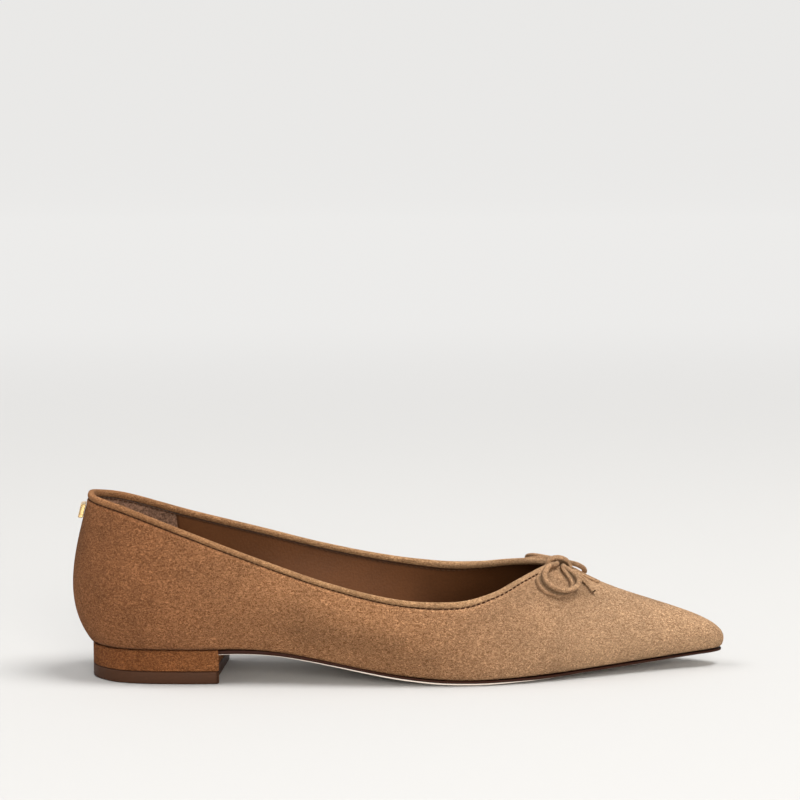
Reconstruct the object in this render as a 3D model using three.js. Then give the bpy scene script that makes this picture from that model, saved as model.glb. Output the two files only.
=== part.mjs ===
// Pointed toe flat shoe, right foot. Millimetres, +Z up, +X to the toe, +Y to the inner side.
// The origin is the middle of the heel tread on the floor.
import * as THREE from 'three';

// Named sizes
const SHOE_LENGTH = 262;
const BALL_WIDTH = 76;
const INSTEP_HEIGHT = 43.6;
const BACK_HEIGHT = 74;
const HEEL_HEIGHT = 13.5;
const TOE_SPRING = 5.3;
const WALL = 1.8;
const SOLE_THICKNESS = 1.7;
const TOP_PIECE_THICKNESS = 5;
const INSOLE_THICKNESS = 2.4;
const BINDING_WIDTH = 3;
const BINDING_PROUD = 0.3;
const STRAP_WIDTH = 3;
const STRAP_THICKNESS = 1.7;
const KNOT_WIDTH = 4.4;
const HEEL_INSET = 0.3;
const PLATE_WIDTH = 8.4;
const PLATE_HEIGHT = 5.6;
const PLATE_THICKNESS = 1.2;
const PLATE_BELOW_BINDING = 2;
const GAP = 0.3;

// Places along the foot, as shares of the shoe length
const HEEL_BREAST = 0.22 * SHOE_LENGTH;
const TREAD_START = 0.5725 * SHOE_LENGTH;
const TREAD_END = 0.618 * SHOE_LENGTH;
const HEEL_CENTRE = 0.124 * SHOE_LENGTH;

// Stations from the back of the heel (first row) to the toe tip (last row).
// footX, footOut, footIn: lower edge, along (share of length), outer and inner side (share of ball width)
// topX, topOut, topIn: topline in the same shares
// zOut, zIn: topline height, 0 at the vamp point and 1 at the back (share of back above instep)
// rise, drop: handles of the side profile, up from the lower edge and down from the topline (share of instep)
// flare, lean: the same handles outward (share of ball width)
const COLUMNS = ['footX', 'footOut', 'footIn', 'topX', 'topOut', 'topIn', 'zOut', 'zIn',
  'rise', 'flare', 'drop', 'lean'];
const STATIONS = [
  [0.0279, 0.0000, 0.0000, 0.0260, 0.0000, 0.0000, 1.0000, 1.0000, 0.3899, 0.1776, 0.5046, 0.0724],
  [0.0401, -0.1579, 0.1579, 0.0363, -0.1382, 0.1382, 0.9737, 0.9737, 0.3899, 0.1579, 0.5046, 0.0658],
  [0.0840, -0.2829, 0.2697, 0.0840, -0.2566, 0.2566, 0.8651, 0.8750, 0.3670, 0.1250, 0.4587, 0.0592],
  [0.1832, -0.3355, 0.3092, 0.1794, -0.3224, 0.3158, 0.5526, 0.6184, 0.3440, 0.1053, 0.3899, 0.0526],
  [0.2939, -0.3289, 0.2697, 0.2863, -0.3684, 0.3487, 0.2039, 0.3684, 0.2982, 0.1118, 0.3211, 0.0395],
  [0.4008, -0.3684, 0.2697, 0.3893, -0.4145, 0.3947, -0.0987, 0.1184, 0.2523, 0.1118, 0.2523, 0.0329],
  [0.5038, -0.4408, 0.3618, 0.4885, -0.4539, 0.4342, -0.2961, -0.0724, 0.2294, 0.0921, 0.2064, 0.0263],
  [0.5992, -0.4737, 0.4605, 0.5725, -0.4342, 0.4211, -0.3421, -0.1579, 0.2004, 0.0698, 0.1892, 0.0396],
  [0.6947, -0.4145, 0.4605, 0.6298, -0.3487, 0.3421, -0.2697, -0.1382, 0.2423, 0.0821, 0.1413, 0.1587],
  [0.7863, -0.2961, 0.3684, 0.6718, -0.2474, 0.2447, -0.1414, -0.0724, 0.2744, 0.0891, 0.1227, 0.2598],
  [0.8702, -0.1842, 0.2566, 0.7042, -0.1513, 0.1579, -0.0493, -0.0263, 0.2872, 0.0975, 0.1813, 0.3216],
  [0.9427, -0.0961, 0.1447, 0.7252, -0.0697, 0.0789, -0.0099, -0.0033, 0.2987, 0.1091, 0.2838, 0.3556],
  [0.9866, -0.0474, 0.0658, 0.7344, -0.0303, 0.0368, 0.0000, 0.0000, 0.3078, 0.1138, 0.3654, 0.3736],
  [1.0000, 0.0105, 0.0105, 0.7366, 0.0026, 0.0026, 0.0000, 0.0000, 0.3401, 0.1316, 0.4069, 0.3876],
];

// Bow paths on the vamp. around: share of the way round the shoe from the heel (0.5 is the toe side),
// up: share of the way from the lower edge to the topline, lift: height of the strap's underside
// over the vamp (share of strap width). The ends of the loops meet the knot.
const BOW_LOOP_OUTER = [
  [0.4508, 0.9710, 0.30], [0.4189, 0.9694, 0.30], [0.3936, 0.9577, 0.29], [0.3725, 0.9210, 0.25],
  [0.3577, 0.8576, 0.21], [0.3502, 0.7630, 0.20], [0.3503, 0.6834, 0.23], [0.3576, 0.6684, 0.30],
  [0.3711, 0.7132, 0.43], [0.3879, 0.7807, 0.53], [0.4058, 0.8453, 0.57], [0.4261, 0.8990, 0.50],
  [0.4565, 0.9306, 0.35],
];
const BOW_LOOP_INNER = [
  [0.5420, 0.9749, 0.25], [0.5792, 0.9670, 0.27], [0.6077, 0.9566, 0.29], [0.6304, 0.9389, 0.28],
  [0.6475, 0.8868, 0.25], [0.6548, 0.7937, 0.21], [0.6527, 0.7018, 0.20], [0.6433, 0.6593, 0.20],
  [0.6281, 0.6654, 0.23], [0.6082, 0.7046, 0.30], [0.5880, 0.7610, 0.33], [0.5632, 0.8469, 0.30],
  [0.5369, 0.9300, 0.25],
];
const BOW_TAIL_OUTER = [
  [0.4725, 0.8986, 0.22], [0.4398, 0.8609, 0.17], [0.4147, 0.8020, 0.14], [0.3991, 0.7412, 0.13],
  [0.3877, 0.6818, 0.13],
];
const BOW_TAIL_INNER = [
  [0.5180, 0.8978, 0.19], [0.5101, 0.8701, 0.14], [0.5008, 0.8415, 0.12], [0.4922, 0.8112, 0.12],
];

const lastRow = STATIONS.length - 1;
const ringCount = 2 * lastRow;
const column = (name) => COLUMNS.indexOf(name);

// One closed list of values round the shoe: outer side to the toe, inner side back to the heel.
function around(outerName, innerName, scale) {
  const values = [];
  for (let k = 0; k <= lastRow; k += 1) values.push(STATIONS[k][column(outerName)] * scale);
  for (let k = lastRow - 1; k > 0; k -= 1) values.push(STATIONS[k][column(innerName)] * scale);
  return values;
}

const footX = around('footX', 'footX', SHOE_LENGTH);
const footY = around('footOut', 'footIn', BALL_WIDTH);
const topX = around('topX', 'topX', SHOE_LENGTH);
const topY = around('topOut', 'topIn', BALL_WIDTH);
const topZ = around('zOut', 'zIn', BACK_HEIGHT - INSTEP_HEIGHT).map((z) => z + INSTEP_HEIGHT);
const riseList = around('rise', 'rise', INSTEP_HEIGHT);
const flareList = around('flare', 'flare', BALL_WIDTH);
const dropList = around('drop', 'drop', INSTEP_HEIGHT);
const leanList = around('lean', 'lean', BALL_WIDTH);

// Smooth closed curve through a list, s from 0 to 1 once round.
function smooth(list, s) {
  const place = (s - Math.floor(s)) * ringCount;
  const i = Math.floor(place);
  const w = place - i;
  const at = (k) => list[(i + k + ringCount) % ringCount];
  const [a, b, c, d] = [at(-1), at(0), at(1), at(2)];
  return 0.5 * (2 * b + (c - a) * w + (2 * a - 5 * b + 4 * c - d) * w * w
    + (3 * b - a - 3 * c + d) * w * w * w);
}

// Height of the seat line: level over the heel, down through the arch, flat tread, toe spring.
function seatHeight(x) {
  const down = Math.min(Math.max((x - HEEL_BREAST) / (TREAD_START - HEEL_BREAST), 0), 1);
  const arch = (HEEL_HEIGHT - SOLE_THICKNESS) * 0.5 * (1 + Math.cos(Math.PI * down));
  const ahead = Math.max((x - TREAD_END) / (SHOE_LENGTH - TREAD_END), 0);
  return SOLE_THICKNESS + arch + TOE_SPRING * ahead ** 1.35;
}

function footPoint(s) {
  return new THREE.Vector3(smooth(footX, s), smooth(footY, s), 0);
}

function topPoint(s) {
  return new THREE.Vector3(smooth(topX, s), smooth(topY, s), smooth(topZ, s));
}

// Outward direction in plan of a closed curve.
function outward(curve, s) {
  const step = curve(s + 1e-3).sub(curve(s - 1e-3));
  return new THREE.Vector3(step.y, -step.x, 0).normalize();
}

// Outer face of the upper: one side profile from the lower edge (t 0) to the topline (t 1).
function skin(s, t) {
  const foot = footPoint(s);
  const top = topPoint(s);
  const footOut = outward(footPoint, s);
  const fan = new THREE.Vector3(foot.x - top.x, foot.y - top.y, 0)
    .addScaledVector(outward(topPoint, s), 0.158 * BALL_WIDTH).normalize();
  foot.z = seatHeight(foot.x) + GAP / 2;
  const low = foot.clone().addScaledVector(footOut, smooth(flareList, s));
  low.z += smooth(riseList, s);
  const high = top.clone().addScaledVector(fan, smooth(leanList, s));
  high.z -= smooth(dropList, s);
  return new THREE.CubicBezierCurve3(foot, low, high, top).getPoint(t);
}

function skinNormal(s, t) {
  const e = 2e-3;
  const up = skin(s, Math.min(t + e, 1)).sub(skin(s, Math.max(t - e, 0)));
  const on = skin(s + e, t).sub(skin(s - e, t));
  return new THREE.Vector3().crossVectors(on, up).normalize();
}

function offSkin(s, t, lift) {
  return skin(s, t).addScaledVector(skinNormal(s, t), lift);
}

// Share of the profile that lies a given distance down from the topline.
function shareBelow(s, distance) {
  return 1 - distance / (3 * Math.hypot(smooth(leanList, s), smooth(dropList, s)));
}

// Share of the profile where the upper ends under the binding.
function rimShare(s) {
  return shareBelow(s, BINDING_WIDTH + GAP);
}

// Closed body from rings of points; the rings either close on themselves or end in flat caps.
function bodyFromRings(rings, closed) {
  const count = rings[0].length;
  const positions = [];
  const faces = [];
  for (const ring of rings) for (const p of ring) positions.push(p.x - HEEL_CENTRE, p.y, p.z);
  const spans = closed ? rings.length : rings.length - 1;
  for (let i = 0; i < spans; i += 1) {
    const next = (i + 1) % rings.length;
    for (let j = 0; j < count; j += 1) {
      const k = (j + 1) % count;
      const [a, b, c, d] = [i * count + j, i * count + k, next * count + k, next * count + j];
      faces.push(a, b, c, a, c, d);
    }
  }
  if (!closed) {
    for (const [ring, start, turn] of [[rings[0], 0, 1], [rings[rings.length - 1], spans * count, -1]]) {
      const hub = positions.length / 3;
      const middle = ring.reduce((sum, p) => sum.add(p), new THREE.Vector3()).divideScalar(count);
      positions.push(middle.x - HEEL_CENTRE, middle.y, middle.z);
      for (let j = 0; j < count; j += 1) {
        const k = (j + 1) % count;
        if (turn > 0) faces.push(hub, start + k, start + j);
        else faces.push(hub, start + j, start + k);
      }
    }
  }
  const point = (n) => new THREE.Vector3(positions[3 * n], positions[3 * n + 1], positions[3 * n + 2]);
  let volume = 0;
  for (let f = 0; f < faces.length; f += 3) {
    volume += point(faces[f]).dot(point(faces[f + 1]).cross(point(faces[f + 2])));
  }
  if (volume < 0) {
    for (let f = 0; f < faces.length; f += 3) {
      [faces[f + 1], faces[f + 2]] = [faces[f + 2], faces[f + 1]];
    }
  }
  const geometry = new THREE.BufferGeometry();
  geometry.setAttribute('position', new THREE.Float32BufferAttribute(positions, 3));
  geometry.setIndex(faces);
  geometry.computeVertexNormals();
  return geometry;
}

// Hollow upper: outer face and inner face joined at the rim and at the lower edge.
function upperShell(columns, rows) {
  const rings = [];
  for (let i = 0; i < columns; i += 1) {
    const s = i / columns;
    const outer = [];
    const inner = [];
    for (let j = 0; j <= rows; j += 1) {
      const t = rimShare(s) * (j / rows) ** 0.9;
      outer.push(skin(s, t));
      inner.push(offSkin(s, t, -WALL));
    }
    rings.push([...outer, ...inner.reverse()]);
  }
  return bodyFromRings(rings, true);
}

// Rolled edge on the rim. Each corner: share down from the topline, share of the way through.
function toplineBinding(columns) {
  const corners = [[1, 0], [0.35, 0], [0.08, 0.2], [0, 0.5], [0.08, 0.8], [0.35, 1], [1, 1]];
  const rings = [];
  for (let i = 0; i < columns; i += 1) {
    const s = i / columns;
    rings.push(corners.map(([down, through]) => (
      offSkin(s, shareBelow(s, BINDING_WIDTH * down), BINDING_PROUD - through * (WALL + 2 * BINDING_PROUD)))));
  }
  return bodyFromRings(rings, true);
}

// Slab between the two sides of the lower edge. Each layer: inset from the edge, height over the seat line.
function slab(stops, layers, heightAt) {
  const corner = (s, [inset, lift]) => {
    const p = footPoint(s).addScaledVector(outward(footPoint, s), -inset);
    p.z = heightAt(p.x, lift);
    return p;
  };
  const rings = stops.map((s) => [
    ...layers.map((layer) => corner(s, layer)),
    ...[...layers].reverse().map((layer) => corner(1 - s, layer)),
  ]);
  return bodyFromRings(rings, false);
}

// Share of the way round where the lower edge reaches a place along the foot.
function stopAt(x) {
  let low = 0.02;
  let high = 0.48;
  for (let k = 0; k < 40; k += 1) {
    const middle = (low + high) / 2;
    if (footPoint(middle).x < x) low = middle;
    else high = middle;
  }
  return (low + high) / 2;
}

// Stops from one share to another, closer together at the round ends of the foot.
function stops(from, to, count) {
  const list = [];
  for (let k = 0; k <= count; k += 1) list.push(from + (to - from) * (k / count));
  return list;
}

const heelEnds = [0.0022, 0.008, 0.015, 0.023, 0.032];
const toeEnds = [0.47, 0.477, 0.484, 0.489, 0.493, 0.4965, 0.4988];
const overSeat = (x, lift) => seatHeight(x) + lift;

function insole() {
  const layers = [
    [0.55 * WALL + GAP, INSOLE_THICKNESS + GAP / 2],
    [0.98 * WALL + GAP, 0.4 * INSOLE_THICKNESS],
    [1.07 * WALL + GAP, GAP / 2],
  ];
  return slab([...heelEnds, ...stops(0.042, 0.462, 44), ...toeEnds.slice(0, 6)], layers, overSeat);
}

function outsole() {
  const layers = [[0, -GAP / 2], [-0.09 * SOLE_THICKNESS, -SOLE_THICKNESS / 2],
    [0.35 * SOLE_THICKNESS, -SOLE_THICKNESS]];
  return slab([...stops(stopAt(HEEL_BREAST + GAP), 0.462, 40), ...toeEnds], layers, overSeat);
}

function heelBlock() {
  const top = HEEL_HEIGHT - GAP / 2;
  const bottom = TOP_PIECE_THICKNESS + GAP;
  const layers = [[HEEL_INSET, top], [HEEL_INSET, bottom]];
  return slab([...heelEnds, ...stops(0.042, stopAt(HEEL_BREAST), 9)], layers, (x, lift) => lift);
}

function heelTopPiece() {
  const bevel = 0.16 * TOP_PIECE_THICKNESS;
  const layers = [[HEEL_INSET, TOP_PIECE_THICKNESS], [HEEL_INSET, bevel], [HEEL_INSET + bevel, 0]];
  return slab([...heelEnds, ...stops(0.042, stopAt(HEEL_BREAST), 9)], layers, (x, lift) => lift);
}

// Loop path whose two ends stop beside the knot.
function besideKnot(path) {
  const reach = KNOT_WIDTH / 2 + GAP + 0.5 * STRAP_THICKNESS;
  const side = path[0][0] < 0.5 ? -1 : 1;
  return path.map(([place, up, lift], k) => {
    if (k > 0 && k < path.length - 1) return [place, up, lift];
    let near = 0.5;
    let far = 0.5 + side * 0.1;
    for (let turn = 0; turn < 30; turn += 1) {
      const middle = (near + far) / 2;
      if (side * skin(middle, up).y < reach) near = middle;
      else far = middle;
    }
    return [near, up, lift];
  });
}

// Strap along a bow path. standing: its width points away from the vamp, as in the loops.
function strap(path, standing, count) {
  const curve = new THREE.CatmullRomCurve3(path.map((row) => new THREE.Vector3(...row)));
  const halfHeight = (standing ? STRAP_WIDTH : STRAP_THICKNESS) / 2;
  const middle = (k) => {
    const p = curve.getPoint(Math.min(Math.max(k / count, 0), 1));
    return { at: offSkin(p.x, p.y, p.z * STRAP_WIDTH + halfHeight), away: skinNormal(p.x, p.y) };
  };
  const corners = [[1, 0.45], [0.72, 1], [-0.72, 1], [-1, 0.45], [-1, -0.45], [-0.72, -1], [0.72, -1], [1, -0.45]];
  const rings = [];
  for (let k = 0; k <= count; k += 1) {
    const { at, away } = middle(k);
    const along = middle(Math.min(k + 0.5, count)).at.sub(middle(Math.max(k - 0.5, 0)).at).normalize();
    const side = new THREE.Vector3().crossVectors(along, away).normalize();
    const up = new THREE.Vector3().crossVectors(side, along).normalize();
    const wide = standing ? up : side;
    const thin = standing ? side : up;
    rings.push(corners.map(([a, b]) => at.clone()
      .addScaledVector(wide, a * STRAP_WIDTH / 2).addScaledVector(thin, b * STRAP_THICKNESS / 2)));
  }
  return bodyFromRings(rings, false);
}

// Knot: a small loaf on the vamp point. up: share of the profile, high: top over the vamp,
// half: half width (shares of the knot width)
function knot() {
  const rows = [
    [0.9990, 0.36, 0.20], [0.9930, 0.56, 0.36], [0.9820, 0.74, 0.46], [0.9660, 0.84, 0.50],
    [0.9500, 0.85, 0.50], [0.9350, 0.78, 0.50], [0.9230, 0.64, 0.45], [0.9150, 0.46, 0.36],
    [0.9110, 0.36, 0.20],
  ];
  const round = [[-1, 0], [-1, 0.5], [-0.75, 0.85], [-0.3, 1], [0.3, 1], [0.75, 0.85], [1, 0.5], [1, 0]];
  const base = BINDING_PROUD + GAP;
  const rings = rows.map(([up, high, half]) => {
    const away = skinNormal(0.5, up);
    return round.map(([a, b]) => {
      const p = skin(0.5, up).addScaledVector(away, base + b * (high * KNOT_WIDTH - base));
      p.y += a * half * KNOT_WIDTH;
      return p;
    });
  });
  return bodyFromRings(rings, false);
}

// Plain metal plate bent round the back of the heel under the binding.
function heelPlate() {
  const high = BINDING_WIDTH + PLATE_BELOW_BINDING;
  let half = 0;
  while (skin(half, shareBelow(0, high)).y > -PLATE_WIDTH / 2) half += 0.0005;
  const rings = [];
  for (let i = 0; i <= 8; i += 1) {
    const s = (i / 4 - 1) * half;
    const rows = [1, 0.5, 0].map((down) => shareBelow(s, high + PLATE_HEIGHT * down));
    rings.push([
      ...rows.map((t) => offSkin(s, t, GAP + PLATE_THICKNESS)),
      ...rows.reverse().map((t) => offSkin(s, t, GAP)),
    ]);
  }
  return bodyFromRings(rings, false);
}

const suede = new THREE.MeshStandardMaterial({ name: 'suede', color: 0xb08a63, roughness: 0.95, metalness: 0 });
const sock = new THREE.MeshStandardMaterial({ name: 'sock_leather', color: 0x94704c, roughness: 0.6, metalness: 0 });
const edge = new THREE.MeshStandardMaterial({ name: 'sole_rubber', color: 0x3a261b, roughness: 0.6, metalness: 0 });
const tread = new THREE.MeshStandardMaterial({ name: 'heel_rubber', color: 0x4d3324, roughness: 0.55, metalness: 0 });
const gold = new THREE.MeshStandardMaterial({ name: 'gold_metal', color: 0xc8a25c, roughness: 0.3, metalness: 1 });

const PIECES = [
  ['upper', upperShell(104, 12), suede],
  ['topline_binding', toplineBinding(104), suede],
  ['insole', insole(), sock],
  ['outsole', outsole(), edge],
  ['heel_block', heelBlock(), suede],
  ['heel_top_piece', heelTopPiece(), tread],
  ['bow_knot', knot(), suede],
  ['bow_loop_outer', strap(besideKnot(BOW_LOOP_OUTER), true, 34), suede],
  ['bow_loop_inner', strap(besideKnot(BOW_LOOP_INNER), true, 36), suede],
  ['bow_tail_outer', strap(BOW_TAIL_OUTER, false, 10), suede],
  ['bow_tail_inner', strap(BOW_TAIL_INNER, false, 8), suede],
  ['heel_plate', heelPlate(), gold],
];

const group = new THREE.Group();
for (const [name, geometry, material] of PIECES) {
  const mesh = new THREE.Mesh(geometry, material);
  mesh.name = name;
  group.add(mesh);
}

export default group;
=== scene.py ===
"""Suede pointed toe flat shoe: the looks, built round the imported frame."""

import math

import bmesh
import bpy
import numpy as np
from mathutils import Matrix, Vector
from mathutils.bvhtree import BVHTree


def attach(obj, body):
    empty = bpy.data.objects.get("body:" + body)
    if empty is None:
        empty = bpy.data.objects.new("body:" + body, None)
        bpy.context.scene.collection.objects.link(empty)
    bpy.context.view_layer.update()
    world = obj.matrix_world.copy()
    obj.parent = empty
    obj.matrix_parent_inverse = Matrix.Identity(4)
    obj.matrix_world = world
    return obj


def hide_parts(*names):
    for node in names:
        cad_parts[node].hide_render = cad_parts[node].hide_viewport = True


bl_info = {
    "name": "Pointed toe flat shoe",
    "version": (1, 0, 0),
    "blender": (4, 5, 0),
    "location": "View3D > Sidebar > Shoe",
    "description": "Makes the suede upper, bow, sole and heel of a pointed toe flat",
    "category": "Object",
}

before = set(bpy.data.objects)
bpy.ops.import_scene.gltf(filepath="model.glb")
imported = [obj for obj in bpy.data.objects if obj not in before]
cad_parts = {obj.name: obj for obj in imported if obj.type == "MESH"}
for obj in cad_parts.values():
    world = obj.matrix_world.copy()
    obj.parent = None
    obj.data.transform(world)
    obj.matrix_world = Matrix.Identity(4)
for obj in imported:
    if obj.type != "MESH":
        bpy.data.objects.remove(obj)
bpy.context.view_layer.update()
MM = 0.001

# Sizes of the last, the same as in the part
LENGTH = 262 * MM
BALL = 76 * MM
INSTEP = 43.6 * MM
BACK = 74 * MM
HEEL = 13.5 * MM
SPRING = 5.3 * MM
WALL = 1.8 * MM
SOLE = 1.7 * MM
GAP = 0.3 * MM
BREAST = 0.22 * LENGTH
TREAD = (0.5725 * LENGTH, 0.618 * LENGTH)
CENTRE = 0.124 * LENGTH

# Finish of the suede: groove under the binding, the roll below it, the tuck above the sole
GROOVE_DEPTH, GROOVE_REACH = 0.8 * MM, 1.0 * MM
ROLL_HEIGHT, ROLL_DOWN, ROLL_REACH = 0.16 * MM, 1.4 * MM, 0.7 * MM
TUCK_DEPTH, TUCK_REACH = 0.5 * MM, 1.2 * MM
THROAT_RAISE = 0.6 * MM
NAP_RELIEF = 0.36 * MM
FIBRE_DARK = (0.44, 0.37, 0.30, 1.0)
FIBRE_PALE = (1.50, 1.57, 1.62, 1.0)

# Insole, sole and heel as they are seen: sizes, rows across each sheet, and the least angle of a sharp edge
SOCK_TOP, SOCK_RISE, SOCK_INSET = 2.35 * MM, 0.5 * MM, 1.35 * MM
SOCK_DEPTH, SOCK_ROUNDING = 1.6 * MM, 0.35 * MM
SOLE_SEAT, SOLE_OVERHANG, SOLE_ROUNDING = 0.05 * MM, 0.3 * MM, 0.3 * MM
TOE_THINNING, RIM_CURL = 0.75 * MM, 0.7 * MM
HEEL_INSET, HEEL_SEAT, BLOCK_DEPTH, BLOCK_ROUNDING = 0.3 * MM, 0.1 * MM, 8.3 * MM, 0.6 * MM
TOP_PIECE, TOP_PIECE_ROUNDING = 5 * MM, 0.7 * MM
FLARE_START, FLARE_AHEAD, FLARE_HIGH, FLARE_DEPTH = 14 * MM, 5.0, 5.0, 3 * MM
SHEET_ROWS = 24
SHARP = 0.9

# Metal plate at the back: half its length as a share of the way round, and its sizes
BAR_HALF = 0.0136
BAR_DOWN, BAR_HEIGHT, BAR_LIFT, BAR_DEPTH, BAR_ROUNDING = 5 * MM, 5.6 * MM, 0.3 * MM, 1.9 * MM, 0.35 * MM

# Camera: distance, size of a photo pixel at the shoe, side of the photo, and the row of the floor point
AWAY = 1.2
PIXEL = 0.000405
PHOTO_SIDE = 800
FLOOR_ROW = 668.5
FLOOR_POINT = 131 * MM
TURN, TILT = math.radians(4.0), math.radians(6.6)

# Stations from the back of the heel to the toe tip, as shares of the sizes above.
# foot x, outer, inner; topline x, outer, inner; topline height outer, inner; rise, flare, drop, lean
STATIONS = np.array([
    (0.0279, 0.0000, 0.0000, 0.0260, 0.0000, 0.0000, 1.0000, 1.0000, 0.3899, 0.1776, 0.5046, 0.0724),
    (0.0401, -0.1579, 0.1579, 0.0363, -0.1382, 0.1382, 0.9737, 0.9737, 0.3899, 0.1579, 0.5046, 0.0658),
    (0.0840, -0.2829, 0.2697, 0.0840, -0.2566, 0.2566, 0.8651, 0.8750, 0.3670, 0.1250, 0.4587, 0.0592),
    (0.1832, -0.3355, 0.3092, 0.1794, -0.3224, 0.3158, 0.5526, 0.6184, 0.3440, 0.1053, 0.3899, 0.0526),
    (0.2939, -0.3289, 0.2697, 0.2863, -0.3684, 0.3487, 0.2039, 0.3684, 0.2982, 0.1118, 0.3211, 0.0395),
    (0.4008, -0.3684, 0.2697, 0.3893, -0.4145, 0.3947, -0.0987, 0.1184, 0.2523, 0.1118, 0.2523, 0.0329),
    (0.5038, -0.4408, 0.3618, 0.4885, -0.4539, 0.4342, -0.2961, -0.0724, 0.2294, 0.0921, 0.2064, 0.0263),
    (0.5992, -0.4737, 0.4605, 0.5725, -0.4342, 0.4211, -0.3421, -0.1579, 0.2004, 0.0698, 0.1892, 0.0396),
    (0.6947, -0.4145, 0.4605, 0.6298, -0.3487, 0.3421, -0.2697, -0.1382, 0.2423, 0.0821, 0.1413, 0.1587),
    (0.7863, -0.2961, 0.3684, 0.6718, -0.2474, 0.2447, -0.1414, -0.0724, 0.2744, 0.0891, 0.1227, 0.2598),
    (0.8702, -0.1842, 0.2566, 0.7042, -0.1513, 0.1579, -0.0493, -0.0263, 0.2872, 0.0975, 0.1813, 0.3216),
    (0.9427, -0.0961, 0.1447, 0.7252, -0.0697, 0.0789, -0.0099, -0.0033, 0.2987, 0.1091, 0.2838, 0.3556),
    (0.9866, -0.0474, 0.0658, 0.7344, -0.0303, 0.0368, 0.0000, 0.0000, 0.3078, 0.1138, 0.3654, 0.3736),
    (1.0000, 0.0105, 0.0105, 0.7366, 0.0026, 0.0026, 0.0000, 0.0000, 0.3401, 0.1316, 0.4069, 0.3876),
])

# Bow in plan, mm from the throat of the topline: forward, to the inner side, height of the
# strap's lower edge over the vamp, and how far the strap stands up (1 is its whole width)
NEAR_LOOP = [
    (1.8, -1.5, -0.2, 0.05), (0.8, -4.5, 0.8, 0.12), (-0.2, -7.4, 1.4, 0.18), (-2.1, -9.0, 1.4, 0.3),
    (-4.5, -11.9, 1.2, 0.6), (-6.8, -15.6, 1.0, 0.9), (-8.0, -18.6, 1.0, 1.0), (-7.6, -21.1, 1.0, 1.0),
    (-5.8, -22.5, 1.0, 1.0), (-3.1, -22.8, 1.0, 1.0), (-0.3, -22.3, 1.0, 1.0), (2.6, -20.9, 1.0, 1.0),
    (5.0, -18.9, 1.2, 1.0), (6.2, -16.7, 1.4, 0.95), (6.0, -14.6, 1.6, 0.85), (5.0, -12.2, 1.8, 0.65),
    (4.0, -9.4, 1.6, 0.4), (3.5, -7.2, 1.4, 0.22), (3.5, -4.5, 0.8, 0.12), (3.7, -1.5, -0.2, 0.05)]
FAR_LOOP = [
    (2.0, 0.8, 0.2, 0.05), (0.6, 3.6, 0.6, 0.1), (-1.8, 7.4, 0.7, 0.2), (-4.8, 11.6, 0.5, 0.5),
    (-7.8, 15.6, 0.4, 0.85), (-9.6, 19.6, 0.4, 1.0), (-8.4, 23.4, 0.4, 1.0), (-4.0, 25.4, 0.5, 1.0),
    (2.4, 25.0, 0.7, 0.9), (8.8, 22.6, 1.0, 0.6), (13.2, 18.6, 1.5, 0.25), (14.8, 14.4, 2.2, 0.08),
    (13.8, 10.4, 2.8, 0.04), (10.8, 6.8, 2.9, 0.04), (7.6, 3.9, 2.5, 0.04), (4.6, 1.0, 1.6, 0.04)]
NEAR_TAIL = [
    (4.8, -1.5, -0.1, 0.2), (5.4, -4.2, 0.8, 0.5), (6.6, -6.4, 1.1, 0.8), (8.4, -7.6, 1.2, 1.0),
    (10.4, -9.4, 1.1, 1.0), (12.2, -11.6, 1.0, 1.0), (13.7, -13.6, 0.9, 1.0), (14.6, -15.0, 1.0, 1.0)]
FAR_TAIL = [
    (5.2, -0.4, 0.4, 0.5), (8.6, -1.6, 0.8, 1.0), (10.9, -2.2, 0.6, 1.0), (13.2, -2.6, 0.45, 1.0),
    (15.3, -3.4, 0.45, 1.0), (18.3, -4.5, 0.45, 1.0)]
KNOT = [
    (-1.2, 40.8), (-2.1, 41.6), (-1.9, 42.9), (-0.7, 44.0), (1.2, 44.5), (3.4, 44.4), (5.2, 43.6),
    (6.4, 42.3), (7.0, 40.6)]

# Soft troughs and ridges: share round the shoe, share up the side, the reach of both, height in mm
SOFT_FORMS = (
    (0.165, 0.38, 0.020, 0.30, -0.55), (0.205, 0.62, 0.028, 0.22, 0.35), (0.238, 0.12, 0.022, 0.20, -0.60),
    (0.262, 0.50, 0.020, 0.28, 0.45), (0.300, 0.30, 0.022, 0.22, -0.40), (0.345, 0.45, 0.026, 0.20, 0.30),
    (0.385, 0.62, 0.022, 0.22, -0.30), (0.125, 0.30, 0.022, 0.24, 0.35), (0.700, 0.35, 0.025, 0.25, -0.50),
    (0.760, 0.30, 0.025, 0.25, 0.35), (0.655, 0.45, 0.025, 0.25, 0.35), (0.840, 0.40, 0.025, 0.30, -0.40),
)

# Lighter and darker places of the suede, partly its own tone and partly painted shade and light, among them
# the shadows of the bow: share round, share up, the reach of both, change of tone
SPOTS_OF_TONE_AND_SHADE = (
    (0.200, 0.80, 0.035, 0.22, 0.20), (0.105, 0.70, 0.030, 0.30, -0.06), (0.020, 0.75, 0.022, 0.25, -0.16),
    (0.195, 0.34, 0.022, 0.12, -0.16), (0.215, 0.50, 0.020, 0.12, -0.08), (0.275, 0.62, 0.020, 0.25, -0.10),
    (0.100, 0.30, 0.015, 0.10, 0.06), (0.030, 0.10, 0.030, 0.15, 0.10), (0.310, 0.18, 0.030, 0.16, 0.12),
    (0.400, 0.16, 0.070, 0.16, 0.14), (0.330, 0.82, 0.030, 0.14, -0.14), (0.385, 0.74, 0.022, 0.14, -0.16),
    (0.372, 0.93, 0.012, 0.05, -0.20), (0.404, 0.79, 0.008, 0.03, -0.20), (0.062, 0.75, 0.020, 0.35, -0.16),
    (0.215, 0.35, 0.030, 0.20, -0.08), (0.285, 0.72, 0.020, 0.20, -0.10), (0.343, 0.66, 0.012, 0.14, -0.12),
)


# Form of the last

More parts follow.
